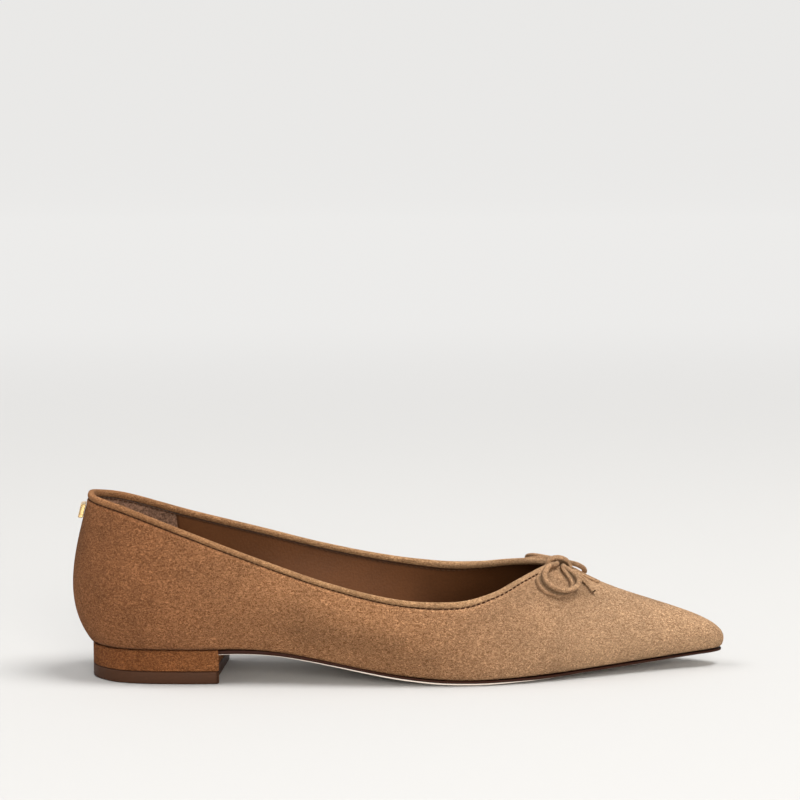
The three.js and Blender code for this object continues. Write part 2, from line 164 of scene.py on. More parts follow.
def round_shoe(outer, inner, scale):
    """Values round the shoe: outer side to the toe, inner side back to the heel."""
    return np.concatenate([STATIONS[:, outer], STATIONS[-2:0:-1, inner]]) * scale


FOOT_X = round_shoe(0, 0, LENGTH) - CENTRE
FOOT_Y = round_shoe(1, 2, BALL)
TOP_X = round_shoe(3, 3, LENGTH) - CENTRE
TOP_Y = round_shoe(4, 5, BALL)
TOP_Z = round_shoe(6, 7, BACK - INSTEP) + INSTEP
RISE = round_shoe(8, 8, INSTEP)
FLARE = round_shoe(9, 9, BALL)
DROP = round_shoe(10, 10, INSTEP)
LEAN = round_shoe(11, 11, BALL)


def flow(values, s):
    """Smooth closed curve through a list of values; s runs from 0 to 1 once round."""
    place = (np.asarray(s, float) % 1.0) * len(values)
    i = np.floor(place).astype(int)
    w = place - i
    a, b, c, d = (values[(i + k) % len(values)] for k in (-1, 0, 1, 2))
    return 0.5 * (2 * b + (c - a) * w + (2 * a - 5 * b + 4 * c - d) * w ** 2
                  + (3 * b - a - 3 * c + d) * w ** 3)


def seat_height(x):
    """Seat line over the floor: level heel, arch, flat tread and toe spring."""
    x = np.asarray(x, float) + CENTRE
    down = np.clip((x - BREAST) / (TREAD[0] - BREAST), 0, 1)
    ahead = np.clip((x - TREAD[1]) / (LENGTH - TREAD[1]), 0, None)
    return SOLE + (HEEL - SOLE) * 0.5 * (1 + np.cos(math.pi * down)) + SPRING * ahead ** 1.35


def foot_line(s):
    """Lower edge of the upper, where it meets the sole."""
    x = flow(FOOT_X, s)
    return np.stack([x, flow(FOOT_Y, s), seat_height(x) + GAP / 2], -1)


def top_line(s):
    """Edge of the opening."""
    return np.stack([flow(TOP_X, s), flow(TOP_Y, s), flow(TOP_Z, s)], -1)


def unit(v):
    return v / (np.linalg.norm(v, axis=-1, keepdims=True) + 1e-12)


def outward(line, s):
    """Outward direction in plan of a closed line."""
    step = line(np.asarray(s) + 1e-3) - line(np.asarray(s) - 1e-3)
    return unit(np.stack([step[..., 1], -step[..., 0], 0 * step[..., 0]], -1))


def skin(s, t):
    """Outer face of the upper, from the lower edge (t 0) to the topline (t 1)."""
    s, t = np.broadcast_arrays(np.asarray(s, float), np.asarray(t, float))
    foot, top = foot_line(s), top_line(s)
    fan = (foot - top) * (1, 1, 0) + outward(top_line, s) * 0.158 * BALL
    up = np.array([0.0, 0.0, 1.0])
    low = foot + outward(foot_line, s) * flow(FLARE, s)[..., None] + up * flow(RISE, s)[..., None]
    high = top + unit(fan) * flow(LEAN, s)[..., None] - up * flow(DROP, s)[..., None]
    t = t[..., None]
    return (1 - t) ** 3 * foot + 3 * (1 - t) ** 2 * t * low + 3 * (1 - t) * t ** 2 * high + t ** 3 * top


def skin_normal(s, t):
    """Outward direction of the upper's outer face."""
    e = 2e-3
    t = np.clip(t, e, 1 - e)
    up = skin(s, t + e) - skin(s, t - e)
    on = skin(np.asarray(s) + e, t) - skin(np.asarray(s) - e, t)
    return unit(np.cross(on, up))


def off_skin(s, t, lift):
    """Points lifted off the upper's outer face."""
    return skin(s, t) + skin_normal(s, t) * np.asarray(lift, float)[..., None]


def share_below(s, distance):
    """Share of the profile that lies a distance down from the topline."""
    return 1 - distance / (3 * np.hypot(flow(LEAN, s), flow(DROP, s)))


def soft_forms(s, t):
    """Height of the soft troughs and ridges."""
    rise = 0.0
    for round_at, up_at, reach, up_reach, height in SOFT_FORMS:
        rise = rise + height * np.exp(-((s - round_at) / reach) ** 2 - ((t - up_at) / up_reach) ** 2)
    return rise * MM


def tone_and_shade_spots(s, t):
    """Where the suede is lighter or darker: partly its own tone, partly painted shade and light."""
    shade = 0.0
    for round_at, up_at, reach, up_reach, amount in SPOTS_OF_TONE_AND_SHADE:
        shade = shade + amount * np.exp(-((s - round_at) / reach) ** 2 - ((t - up_at) / up_reach) ** 2)
    return shade


def bump(x, width):
    """Soft hill, 1 at 0 and gone at the width."""
    return np.where(np.abs(x) < width, 0.5 + 0.5 * np.cos(math.pi * np.clip(x / width, -1, 1)), 0.0)


# Meshes

def finish_piece(bm, name, nodes, materials):
    """Turns a bmesh into a piece that rides on the shoe and stands for CAD nodes."""
    bmesh.ops.remove_doubles(bm, verts=bm.verts, dist=1e-6)
    bmesh.ops.dissolve_degenerate(bm, edges=bm.edges, dist=1e-7)
    bmesh.ops.recalc_face_normals(bm, faces=bm.faces)
    for face in bm.faces:
        face.smooth = True
    mesh = bpy.data.meshes.new(name)
    bm.to_mesh(mesh)
    bm.free()
    for material in materials:
        mesh.materials.append(material)
    piece = bpy.data.objects.new(name, mesh)
    bpy.context.scene.collection.objects.link(piece)
    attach(piece, "root")
    if nodes:
        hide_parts(*nodes)
    return piece


def grid(along, across, place, facts=None):
    """A grid of faces bent into place. place and facts take two arrays from 0 to 1."""
    bm = bmesh.new()
    bm.loops.layers.uv.new("UVMap")
    bmesh.ops.create_grid(bm, x_segments=along, y_segments=across, size=0.5, calc_uvs=True)
    spots = np.array([v.co[:2] for v in bm.verts]) + 0.5
    if facts:
        for name, values in facts(spots[:, 0], spots[:, 1]).items():
            layer = bm.verts.layers.float.new(name)
            for vert, value in zip(bm.verts, values):
                vert[layer] = float(value)
    for vert, point in zip(bm.verts, place(spots[:, 0], spots[:, 1])):
        vert.co = point
    return bm


def along_path(path, share):
    """Smooth open curve through rows of numbers, share from 0 to 1."""
    rows = np.array(path, float)
    rows = np.vstack([2 * rows[0] - rows[1], rows, 2 * rows[-1] - rows[-2]])
    place = np.clip(share, 0, 1) * (len(rows) - 3)
    i = np.minimum(np.floor(place).astype(int), len(rows) - 4)
    w = (place - i)[..., None]
    a, b, c, d = rows[i], rows[i + 1], rows[i + 2], rows[i + 3]
    return 0.5 * (2 * b + (c - a) * w + (2 * a - 5 * b + 4 * c - d) * w ** 2
                  + (3 * b - a - 3 * c + d) * w ** 3)


# Materials

class Field:
    """One socket of a material, used in plain sums."""

    def __init__(self, finish, socket):
        self.finish = finish
        self.socket = socket

    def sum(self, operation, first, second):
        return self.finish.field("ShaderNodeMath", {"operation": operation}, {0: first, 1: second})

    def __add__(self, other):
        return self.sum("ADD", self, other)

    __radd__ = __add__

    def __mul__(self, other):
        return self.sum("MULTIPLY", self, other)

    __rmul__ = __mul__

    def __sub__(self, other):
        return self.sum("SUBTRACT", self, other)

    def __rsub__(self, other):
        return self.sum("SUBTRACT", other, self)


class Finish:
    """A material built from shader nodes."""

    def __init__(self, name, **fixed):
        self.material = bpy.data.materials.new(name)
        self.material.use_nodes = True
        self.tree = self.material.node_tree
        self.surface = self.tree.nodes["Principled BSDF"]
        for socket, value in fixed.items():
            self.surface.inputs[socket.replace("_", " ")].default_value = value
        self.place = self.node("ShaderNodeTexCoord", {}, {}).outputs["Object"]

    def node(self, kind, settings, sockets):
        made = self.tree.nodes.new(kind)
        for key, value in settings.items():
            setattr(made, key, value)
        for key, value in sockets.items():
            value = value.socket if isinstance(value, Field) else value
            if isinstance(value, bpy.types.NodeSocket):
                self.tree.links.new(value, made.inputs[key])
            else:
                made.inputs[key].default_value = value
        return made

    def field(self, kind, settings, sockets, output=0):
        return Field(self, self.node(kind, settings, sockets).outputs[output])

    def noise(self, size, detail=3.0, roughness=0.6, stretch=None, twist=0.0):
        """Noise from 0 to 1 with features of a size in metres."""
        place = self.place
        if stretch:
            place = self.node("ShaderNodeMapping", {}, {"Vector": self.place, "Scale": stretch}).outputs[0]
        return self.field("ShaderNodeTexNoise", {}, {
            "Vector": place, "Scale": 1.0 / size, "Detail": detail, "Roughness": roughness,
            "Distortion": twist})

    def level(self, value, low, high, low_out=0.0, high_out=1.0):
        """Soft step of a value between two levels."""
        return self.field("ShaderNodeMapRange", {"interpolation_type": "SMOOTHSTEP"}, {
            "Value": value, "From Min": low, "From Max": high, "To Min": low_out, "To Max": high_out})

    def mix(self, mask, first, second, how="MIX"):
        """Colour mix by a mask."""
        return self.field("ShaderNodeMix", {"data_type": "RGBA", "blend_type": how}, {
            0: mask, 6: first, 7: second}, output=2)

    def axis(self, name):
        return self.field("ShaderNodeSeparateXYZ", {}, {0: self.place}, output="XYZ".index(name))

    def mark(self, name):
        """A number kept on the mesh."""
        return self.field("ShaderNodeAttribute", {"attribute_name": name}, {}, output=2)

    def finish(self, **sockets):
        for key, value in sockets.items():
            self.tree.links.new(value.socket, self.surface.inputs[key.replace("_", " ")])
        return self.material

    def shaded(self, tone, shade):
        """A colour made lighter or darker."""
        tone = tone if isinstance(tone, Field) else tuple(tone[:3])
        return self.field("ShaderNodeVectorMath", {"operation": "SCALE"}, {0: tone, "Scale": shade})

    def relief(self, height, distance, strength):
        """Bumps of a height over the surface, as its normal."""
        return self.field("ShaderNodeBump", {}, {
            "Height": height, "Distance": distance, "Strength": strength})


def colour(values):
    return (*values[:3], 1.0)


def suede(name, dark=1.0, marks=False, tint=(1.0, 1.0, 1.0), toe_tint=(1.0, 1.0, 1.0), coarse=1.0):
    """Short matte pile: clouded tone, fine speckle and a soft raised fibre, with painted shade and highlights
    where the mesh marks them.
    """
    opts = settings()
    f = Finish(name, Roughness=0.95, Sheen_Weight=0.04, Sheen_Roughness=0.5,
               Sheen_Tint=(1.0, 0.82, 0.64, 1.0), Specular_IOR_Level=0.05)
    along = f.level(f.axis("X"), -0.03, 0.09)
    ahead = f.level(f.axis("X"), 0.08, 0.19)
    heel, middle, toe = (colour([c * k for c, k in zip(tone, tints)]) for tone, tints in (
        (opts.suede_heel, tint), (opts.suede_middle, tint), (opts.suede_toe, toe_tint)))
    base = f.mix(ahead, f.mix(along, heel, middle), toe)
    cloud = f.level(f.noise(0.026, 2.0, 0.5), 0.25, 0.75)
    patch = f.level(f.noise(0.007, 2.0, 0.6), 0.25, 0.75)
    grain = f.level(f.noise(0.001, 2.0, 0.6, stretch=(0.8, 1.0, 1.25), twist=1.6), 0.34, 0.66)
    fibre = f.level(f.noise(0.00058, 1.0, 0.6, stretch=(0.75, 1.0, 1.2), twist=1.5), 0.38, 0.62)
    # Dark fibres are redder and pale ones yellower than the suede's mean tone.
    pale = (grain * 0.35 + fibre * 0.65 - 0.5) * f.level(ahead, 0.0, 1.0, coarse, coarse * 0.8) + 0.5
    tone = f.mix(1.0, base, f.mix(pale, FIBRE_DARK, FIBRE_PALE), "MULTIPLY")
    shade = dark * (1.0 + (cloud - 0.5) * 0.22 + (patch - 0.5) * 0.1)
    # Raw cut edges of the straps show paler and darker flecks; painted shade darkens the folds, the open ends
    # and the strap's ends under the knot.
    seam = f.mark("seam")
    fleck = f.level(f.noise(0.0012, 2.0, 0.7), 0.35, 0.65)
    shade = shade * (1.0 + seam * (fleck - 0.4) * 0.5) * (1.0 - f.mark("hollow") * 0.85)
    if marks:
        # Painted shade in the groove under the binding, a painted highlight on the roll below it, and painted
        # shade a little above the sole
        below = f.mark("below")
        groove_shade = f.level(below, 0.3 * MM, 1.0 * MM, 0.22, 1.0)
        lit_edge = f.level(below, 1.0 * MM, 1.3 * MM) - f.level(below, 1.7 * MM, 2.6 * MM)
        sole_crease_shade = f.level(f.mark("above"), 0.0, 2.5 * MM, 0.8, 1.0)
        # The last factor adds spots that are partly the suede's own tone and partly painted shade and light.
        shade = shade * groove_shade * sole_crease_shade * (1.0 + lit_edge * 0.22) * (1.0 + f.mark("nap"))
    height = grain * 0.8 + fibre * 0.6 + patch * 0.3 + seam * fleck * 0.4
    return f.finish(Base_Color=f.shaded(tone, shade), Roughness=f.level(grain, 0.2, 0.8, 0.85, 1.0),
                    Normal=f.relief(height, NAP_RELIEF, 1.0))


def leather(name, tone, dull=0.55, grip=None):
    """Smooth lining leather with a fine grain, and a napped grip at the back of the heel."""
    f = Finish(name, Specular_IOR_Level=0.16)
    cloud = f.level(f.noise(0.03, 2.0, 0.5), 0.25, 0.75)
    grain = f.field("ShaderNodeTexVoronoi", {"feature": "F1"}, {"Vector": f.place, "Scale": 1.0 / 0.0011})
    fine = f.level(f.noise(0.0009, 2.0, 0.6), 0.32, 0.68)
    # Painted shade just under the rim
    under_rim = f.level(f.mark("below"), 0.3 * MM, 2.2 * MM, 0.3, 1.0)
    shade = (1.0 + (cloud - 0.5) * 0.3 + (fine - 0.5) * 0.1) * under_rim
    # Painted shade inside, under the vamp and, less so, toward the heel.
    in_toe = 1.0 - f.level(f.axis("X"), 0.085, 0.135, 0.0, 0.3)
    shade = shade * in_toe * f.level(f.axis("X"), 0.02, 0.06, 0.88, 1.0)
    base = colour(tone)
    height = grain * 0.4 + fine * 0.3
    if grip:
        x = f.axis("X") + f.axis("Z") * 0.12
        napped = 1.0 - f.level(x, 15.4 * MM, 16.0 * MM)
        edge = 1.0 - f.level(x, 16.0 * MM, 17.2 * MM) - napped
        base = f.mix(napped, base, colour(grip))
        shade = shade * (1.0 + napped * (fine - 0.5) * 0.9) * (1.0 - edge * 0.45)
        height = height + napped * (fine + 1.0)
    return f.finish(Base_Color=f.shaded(base, shade),
                    Roughness=f.level(cloud, 0.0, 1.0, dull - 0.08, dull + 0.08),
                    Normal=f.relief(height, 0.15 * MM, 0.7))


def rubber(name, tone, under=None):
    """Dull moulded rubber with faint scuffs; the sole's underside and lower edge are left pale."""
    f = Finish(name, Specular_IOR_Level=0.12)
    cloud = f.noise(0.008, 4.0, 0.6)
    fine = f.noise(0.0008, 3.0, 0.7)
    scuff = f.noise(0.003, 4.0, 0.6, stretch=(0.25, 1.0, 2.0))
    shade = 1.0 + (cloud - 0.5) * 0.35 + (fine - 0.5) * 0.3 + f.level(scuff, 0.6, 0.8, 0.0, 0.25)
    base = colour(tone)
    if under:
        edge = (f.level(f.axis("X"), 0.04, 0.10, 0.22 * MM, 0.62 * MM)
                - f.level(f.axis("X"), 0.130, 0.165, 0.0, 0.55 * MM))
        base = f.mix(f.level(f.mark("above") - edge, -0.06 * MM, 0.06 * MM), colour(under), base)
    return f.finish(Base_Color=f.shaded(base, shade), Roughness=f.level(cloud, 0.3, 0.7, 0.5, 0.68),
                    Normal=f.relief(fine, 0.12 * MM, 0.6))


def metal(name, tone):
    """Polished pale gold with faint wear."""
    f = Finish(name, Metallic=1.0)
    cloud = f.noise(0.002, 4.0, 0.6)
    scratch = f.noise(0.0006, 3.0, 0.7, stretch=(1.0, 0.2, 1.0))
    base = f.mix(f.level(cloud, 0.3, 0.7, 0.0, 0.5), colour(tone), colour([v * 0.7 for v in tone]))
    return f.finish(Base_Color=base, Roughness=f.level(scratch, 0.3, 0.7, 0.2, 0.38),
                    Normal=f.relief(scratch, 0.01 * MM, 0.3))


def thread(name, tone):
    """Twisted sewing thread."""
    f = Finish(name, Roughness=0.8, Specular_IOR_Level=0.1)
    fine = f.noise(0.0003, 2.0, 0.6)
    tone = f.shaded(tone, 0.7 + fine * 0.6)
    return f.finish(Base_Color=tone, Normal=f.relief(fine, 0.08 * MM, 0.6))


def paper(name, tone, far_tone):
    """Plain matte studio paper that glows evenly where it is far behind the shoe."""
    f = Finish(name, Roughness=0.9, Specular_IOR_Level=0.1, Emission_Strength=1.0)
    near = 1.0 - f.level(f.axis("Y"), 0.25, 1.6)
    return f.finish(Base_Color=f.shaded(tone, near), Emission_Color=f.shaded(far_tone, 1.0 - near))


# Settings

def size(name, description, default):
    """A size that the panel shows."""
    return bpy.props.FloatProperty(name=name, description=description, default=default, unit="LENGTH")


def tone(name, description, default):
    """A colour that the panel shows."""
    return bpy.props.FloatVectorProperty(
        name=name, description=description, default=default, subtype="COLOR", size=3)


class ShoeSettings(bpy.types.PropertyGroup):
    """Sizes and colours of the shoe's finish."""

    binding_width: size("Binding width", "Height of the rolled edge at the sides", 1.9 * MM)
    binding_heel: size("Binding at heel", "Extra height of the rolled edge at the back", 0.6 * MM)
    binding_throat: size("Binding at throat", "Extra height of the flat edge at the throat", 1.1 * MM)
    stitch_pitch: size("Stitch pitch", "Distance from one stitch to the next", 2.25 * MM)
    stitch_length: size("Stitch length", "Length of one stitch", 1.55 * MM)
    suede_heel: tone("Suede at heel", "Colour of the suede at the back", (0.268, 0.11, 0.046))
    suede_middle: tone("Suede at middle", "Colour of the suede at the arch", (0.355, 0.176, 0.083))
    suede_toe: tone("Suede at toe", "Colour of the suede at the toe", (0.455, 0.279, 0.160))
    lining: tone("Lining", "Colour of the lining leather", (0.125, 0.047, 0.016))
    grip: tone("Heel grip", "Colour of the napped grip inside the heel", (0.24, 0.135, 0.088))
    sock: tone("Sock", "Colour of the leather underfoot", (0.30, 0.16, 0.08))
    sole: tone("Sole", "Colour of the sole's edge", (0.032, 0.0095, 0.0045))
    sole_under: tone("Sole underside", "Colour of the sole's underside", (0.78, 0.7, 0.62))
    tread: tone("Heel tread", "Colour of the heel's rubber", (0.062, 0.027, 0.014))
    stitch: tone("Stitches", "Colour of the thread outside", (0.05, 0.02, 0.009))
    stitch_inside: tone("Inner stitches", "Colour of the thread inside", (0.075, 0.035, 0.017))
    gold: tone("Plate", "Colour of the heel plate", (0.80, 0.56, 0.26))


def settings():
    return bpy.context.scene.shoe_settings


def binding_width(s):
    """Height of the rolled edge round the topline."""
    opts = settings()
    back = 0.5 + 0.5 * np.cos(2 * math.pi * np.asarray(s, float))
    return opts.binding_width + opts.binding_heel * back ** 2 + opts.binding_throat * (1 - groove(s))


def groove(s):
    """Depth of the groove under the binding, 1 at the sides and back and slight at the throat."""
    from_throat = np.abs(np.asarray(s, float) - 0.5)
    return 0.2 + 0.8 * np.clip((from_throat - 0.18) / 0.08, 0, 1)


# Operators

class SHOE_OT_upper(bpy.types.Operator):
    """Suede upper with its leather lining"""

    bl_idname = "shoe.make_upper"
    bl_label = "Upper"

    def execute(self, context):
        opts = settings()
        # Section of the wall: share of the way round, up the profile, through the wall
        section = np.array([(0, 0, 0), (0.03, 0, 0), (0.49, 1, 0), (0.51, 1, 1), (0.97, 0, 1), (1, 0, 0)])

        def parts(u, v):
            up = np.interp(v, section[:, 0], section[:, 1])
            through = np.interp(v, section[:, 0], section[:, 2])
            rim = share_below(u, binding_width(u) - 0.2 * MM)
            below = (1 - up) * rim * 3 * np.hypot(flow(LEAN, u), flow(DROP, u))
            above = up * rim * 3 * np.hypot(flow(RISE, u), flow(FLARE, u))
            return up * rim, through, below, above, groove(u)

        def place(u, v):
            t, through, below, above, deep = parts(u, v)
            seam = -GROOVE_DEPTH * deep * bump(below, GROOVE_REACH)
            roll = ROLL_HEIGHT * bump(below - ROLL_DOWN, ROLL_REACH)
            tuck = -TUCK_DEPTH * bump(above, TUCK_REACH)
            lift = np.where(through < 0.5, seam + roll + tuck + soft_forms(u, t), 0)
            return off_skin(u, t, lift - through * WALL)

        def facts(u, v):
            t, through, below, above, deep = parts(u, v)
            below = below + (1 - deep) * THROAT_RAISE
            # Spots partly of the suede's own tone and partly of painted shade and light.
            return {"below": below, "above": above, "inside": through, "nap": tone_and_shade_spots(u, t)}

        bm = grid(560, 100, place, facts)
        inside = bm.verts.layers.float["inside"]
        for face in bm.faces:
            face.material_index = int(sum(v[inside] for v in face.verts) / 4 > 0.5)
        finish_piece(bm, "upper_suede", ["upper"], [
            suede("suede", marks=True), leather("lining_leather", opts.lining, grip=opts.grip)])
        return {"FINISHED"}


class SHOE_OT_binding(bpy.types.Operator):
    """Rolled suede edge round the topline"""

    bl_idname = "shoe.make_binding"
    bl_label = "Topline binding"

    def execute(self, context):
        # Section of the roll: share down from the topline, distance out from the upper's face in mm
        section = [
            (1.06, -0.75), (0.97, -0.1), (0.75, 0.35), (0.45, 0.42), (0.15, 0.2), (-0.02, -0.55),
            (-0.02, -1.35), (0.15, -2.1), (0.5, -2.35), (0.85, -2.3), (1.02, -1.95), (1.06, -1.3),
            (1.06, -0.75)]

        def place(u, v):
            rows = along_path(section, v)
            t = share_below(u, binding_width(u) * rows[:, 0])
            out = np.where(rows[:, 1] > 0, rows[:, 1] * (0.1 + 0.9 * groove(u)), rows[:, 1])
            return off_skin(u, t, out * MM)

        bm = grid(620, 36, place)
        # The binding's paler tint is partly its own tone and partly a painted highlight on its rounded top
        finish_piece(bm, "topline_binding_suede", ["topline_binding"], [
            suede("suede_binding", tint=(1.2, 1.36, 1.42), toe_tint=(0.95, 0.96, 0.97), coarse=0.7)])
        return {"FINISHED"}


class SHOE_OT_stitches(bpy.types.Operator):
    """Rows of stitches under the binding, outside and inside"""

    bl_idname = "shoe.make_stitches"
    bl_label = "Stitches"

    def row(self, name, thread_name, colour, down, lift, radius):
        """One row of stitches, a distance down from the binding and lifted off the upper's face."""
        opts = settings()
        bm = bmesh.new()
        s = np.linspace(0, 1, 4001)
        raised = (1 - groove(s)) * THROAT_RAISE if lift > -WALL / 2 else 0 * s
        line = off_skin(s, share_below(s, binding_width(s) + down), lift + raised)
        run = np.concatenate([[0], np.cumsum(np.linalg.norm(np.diff(line, axis=0), axis=1))])
        count = int(run[-1] / opts.stitch_pitch)
        for k in range(count):
            middle = (k + 0.5) / count * run[-1]
            places = (middle + side * opts.stitch_length / 2 for side in (-1, 1))
            ends = [np.array([np.interp(at, run, line[:, axis]) for axis in range(3)]) for at in places]
            share = np.interp(middle, run, s)
            out = Vector(skin_normal(share, share_below(share, 0.003)))
            along = Vector(ends[1] - ends[0])
            across = along.cross(out).normalized()
            out = across.cross(along).normalized()
            turn = Matrix((along.normalized(), across, out)).transposed().to_4x4()
            size = Matrix.Diagonal((along.length / 2 + radius * 0.4, radius, radius, 1))
            centre = Matrix.Translation(Vector((ends[0] + ends[1]) / 2))
            bmesh.ops.create_uvsphere(bm, u_segments=8, v_segments=6, radius=1.0, matrix=centre @ turn @ size)
        finish_piece(bm, name, [], [thread(thread_name, colour)])

    def execute(self, context):
        opts = settings()
        self.row("stitches_outside", "thread_dark", opts.stitch, 0.3 * MM, -0.42 * MM, 0.4 * MM)
        self.row("stitches_inside", "thread_inside", opts.stitch_inside, 0.9 * MM, -WALL - 0.1 * MM, 0.3 * MM)
        return {"FINISHED"}


def plate_between(along, stops, inset, height):
    """Flat sheet between the two sides of the foot line at the given stops."""
    stops = np.asarray(stops)

    def place(u, v):
        s = np.interp(u, np.linspace(0, 1, len(stops)), stops)
        one = foot_line(s) - outward(foot_line, s) * inset
        two = foot_line(1 - s) - outward(foot_line, 1 - s) * inset
        point = one + (two - one) * v[:, None]
        point[:, 2] = height(point[:, 0], v)
        return point

    return grid(along, SHEET_ROWS, place)


def stop_at(x):
    """Share of the way round at which the foot line reaches a place along the shoe."""
    s = np.linspace(0.02, 0.48, 4000)
    return float(np.interp(x, foot_line(s)[:, 0], s))


def round_edges(bm, rounding, segments):
    """Rounds the sharp edges."""
    sharp = [e for e in bm.edges if len(e.link_faces) == 2 and e.calc_face_angle(0) > SHARP]
    bmesh.ops.bevel(bm, geom=sharp, offset=rounding, segments=segments, affect="EDGES", profile=0.5,
                    material=-1)


def thicken(bm, depth, rounding):
    """Drops walls down from a flat sheet and rounds its edges."""
    made = bmesh.ops.extrude_face_region(bm, geom=bm.faces[:])
    lower = [g for g in made["geom"] if isinstance(g, bmesh.types.BMVert)]
    bmesh.ops.translate(bm, verts=lower, vec=(0, 0, -depth))
    bmesh.ops.remove_doubles(bm, verts=bm.verts, dist=1e-6)
    bmesh.ops.dissolve_degenerate(bm, edges=bm.edges, dist=1e-7)
    bmesh.ops.recalc_face_normals(bm, faces=bm.faces)
    bm.normal_update()
    round_edges(bm, rounding, 3)


class SHOE_OT_insole(bpy.types.Operator):
    """Leather sock on the insole"""

    bl_idname = "shoe.make_insole"
    bl_label = "Insole"

    def execute(self, context):
        stops = np.concatenate([
            np.linspace(0.001, 0.03, 12), np.linspace(0.034, 0.46, 110), np.linspace(0.465, 0.4975, 14)])
        bm = plate_between(240, stops, SOCK_INSET,
                           lambda x, v: seat_height(x) + SOCK_TOP + SOCK_RISE * np.abs(2 * v - 1) ** 3)
        thicken(bm, SOCK_DEPTH, SOCK_ROUNDING)
        finish_piece(bm, "insole_sock", ["insole"], [
            leather("sock_leather", settings().sock, 0.5)])
        return {"FINISHED"}


class SHOE_OT_sole(bpy.types.Operator):
    """Thin outsole with arch and toe spring"""

    bl_idname = "shoe.make_sole"
    bl_label = "Outsole"

    def execute(self, context):
        stops = np.concatenate([
            np.linspace(stop_at(BREAST - CENTRE - GAP), 0.46, 150), np.linspace(0.464, 0.4985, 24)])
        bm = plate_between(300, stops, -SOLE_OVERHANG, lambda x, v: seat_height(x) - SOLE_SEAT)
        thicken(bm, SOLE - SOLE_SEAT, SOLE_ROUNDING)
        above = bm.verts.layers.float.new("above")
        share = np.linspace(0.001, 0.4985, 400)
        outer, inner = foot_line(share), foot_line(1 - share)
        for vert in bm.verts:
            vert[above] = vert.co.z - float(seat_height(vert.co.x)) + SOLE
            # The edge gets thinner from the ball to the toe.
            thinner = np.clip((vert.co.x - 125 * MM) / (45 * MM), 0, 1) * (1 - vert[above] / SOLE)
            vert.co.z += float(thinner) * TOE_THINNING
            # The rim curls up a little between the heel and the toe.
            low, high = (np.interp(vert.co.x, outer[:, 0], side[:, 1]) for side in (outer, inner))
            to_rim = np.clip(abs(2 * (vert.co.y - low) / (high - low) - 1) * 5 - 4, 0, 1)
            behind = np.clip((vert.co.x + CENTRE - BREAST) / (25 * MM), 0, 1)
            before = np.clip((150 * MM - vert.co.x) / (50 * MM), 0, 1)
            vert.co.z += float(to_rim ** 2 * behind * before) * RIM_CURL
        finish_piece(bm, "outsole_rubber", ["outsole"], [
            rubber("sole_rubber", settings().sole, under=settings().sole_under)])
        return {"FINISHED"}


class SHOE_OT_heel(bpy.types.Operator):
    """Suede covered heel block and its rubber tread"""

    bl_idname = "shoe.make_heel"
    bl_label = "Heel"

    def flare(self, bm):
        """Lets the heel's front run forward toward the inner side, most of all just under the sole."""
        for vert in bm.verts:
            front = np.clip((vert.co.x - (BREAST - CENTRE) + FLARE_START) / FLARE_START, 0, 1)
            inner = np.clip((vert.co.y + 12 * MM) / (36 * MM), 0, 1)
            high = math.exp(-(HEEL - vert.co.z) / FLARE_DEPTH)
            vert.co.x += float(front ** 2 * inner * (FLARE_AHEAD + FLARE_HIGH * high)) * MM

    def execute(self, context):
        stops = np.concatenate([
            np.linspace(0.0012, 0.03, 16), np.linspace(0.033, stop_at(BREAST - CENTRE), 60)])
        bm = plate_between(150, stops, HEEL_INSET, lambda x, v: 0 * x + HEEL - HEEL_SEAT)
        thicken(bm, BLOCK_DEPTH, BLOCK_ROUNDING)
        self.flare(bm)
        finish_piece(bm, "heel_block_suede", ["heel_block"], [
            suede("suede_heel_block", dark=0.88, tint=(1.0, 0.86, 0.7))])
        bm = plate_between(150, stops, HEEL_INSET, lambda x, v: 0 * x + TOP_PIECE)
        thicken(bm, TOP_PIECE, TOP_PIECE_ROUNDING)
        self.flare(bm)
        finish_piece(bm, "heel_top_piece_rubber", ["heel_top_piece"], [
            rubber("heel_rubber", settings().tread)])
        return {"FINISHED"}


